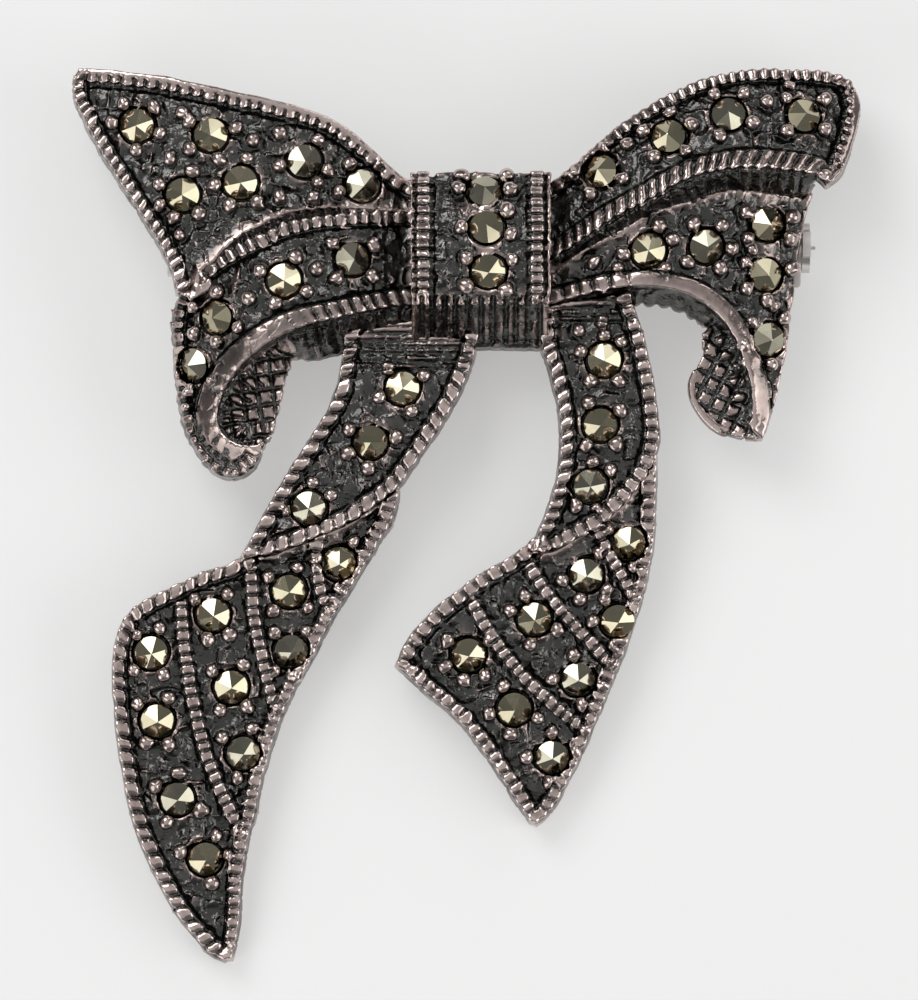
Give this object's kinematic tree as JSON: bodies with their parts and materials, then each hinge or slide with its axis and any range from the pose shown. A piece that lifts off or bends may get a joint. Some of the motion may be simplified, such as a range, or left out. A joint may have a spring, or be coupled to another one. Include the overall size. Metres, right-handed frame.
{
  "type": "bow brooch",
  "caption": "Cast ribbon bow brooch set with small faceted stones, with a hinged pin stem and a rollover catch on its back.",
  "frame": {"origin": "middle of the underside of the bounding box, on the surface that the brooch lies on", "axes": "+Z out of the bow's face, +Y up the bow from the tails to the loops, +X to the right seen from the front"},
  "size_m": [0.0394, 0.0446, 0.0084],
  "materials": {
    "oxidised_silver": "oxidised in the recesses, worn bright on the edges",
    "marcasite": "polished facets",
    "silver_findings": "satin"
  },
  "bodies": {
    "bow": {"knot": "oxidised_silver", "left_loop_front": "oxidised_silver", "left_loop_back": "oxidised_silver", "right_loop_back": "oxidised_silver", "right_loop_front": "oxidised_silver", "left_tail": "oxidised_silver", "right_tail": "oxidised_silver", "left_tail_end": "oxidised_silver", "right_tail_end": "oxidised_silver", "marcasite_01": "marcasite", "marcasite_02": "marcasite", "marcasite_03": "marcasite", "marcasite_04": "marcasite", "marcasite_05": "marcasite", "marcasite_06": "marcasite", "marcasite_07": "marcasite", "marcasite_08": "marcasite", "marcasite_09": "marcasite", "marcasite_10": "marcasite", "marcasite_11": "marcasite", "marcasite_12": "marcasite", "marcasite_13": "marcasite", "marcasite_14": "marcasite", "marcasite_15": "marcasite", "marcasite_16": "marcasite", "marcasite_17": "marcasite", "marcasite_18": "marcasite", "marcasite_19": "marcasite", "marcasite_20": "marcasite", "marcasite_21": "marcasite", "marcasite_22": "marcasite", "marcasite_23": "marcasite", "marcasite_24": "marcasite", "marcasite_25": "marcasite", "marcasite_26": "marcasite", "marcasite_27": "marcasite", "marcasite_28": "marcasite", "marcasite_29": "marcasite", "marcasite_30": "marcasite", "marcasite_31": "marcasite", "marcasite_32": "marcasite", "marcasite_33": "marcasite", "marcasite_34": "marcasite", "marcasite_35": "marcasite", "marcasite_36": "marcasite", "marcasite_37": "marcasite", "marcasite_38": "marcasite", "marcasite_39": "marcasite", "marcasite_40": "marcasite", "marcasite_41": "marcasite", "marcasite_42": "marcasite", "marcasite_43": "marcasite", "marcasite_44": "marcasite", "marcasite_45": "marcasite", "marcasite_46": "marcasite", "hinge_base": "silver_findings", "hinge_rivet": "silver_findings", "catch": "silver_findings"},
    "pin": {"pin_stem": "silver_findings"},
    "lock": {"catch_lock": "silver_findings"}
  },
  "joints": [
    {"name": "pin_swing", "type": "hinge", "parent": "bow", "child": "pin", "pos_m": [-0.0128, 0.01365, 0.0013], "axis": [0, 1, 0], "range_deg": [0, 75]},
    {"name": "lock_turn", "type": "hinge", "parent": "bow", "child": "lock", "pos_m": [0.0165, 0.01365, 0.0013], "axis": [1, 0, 0], "range_deg": [0, 150]}
  ]
}
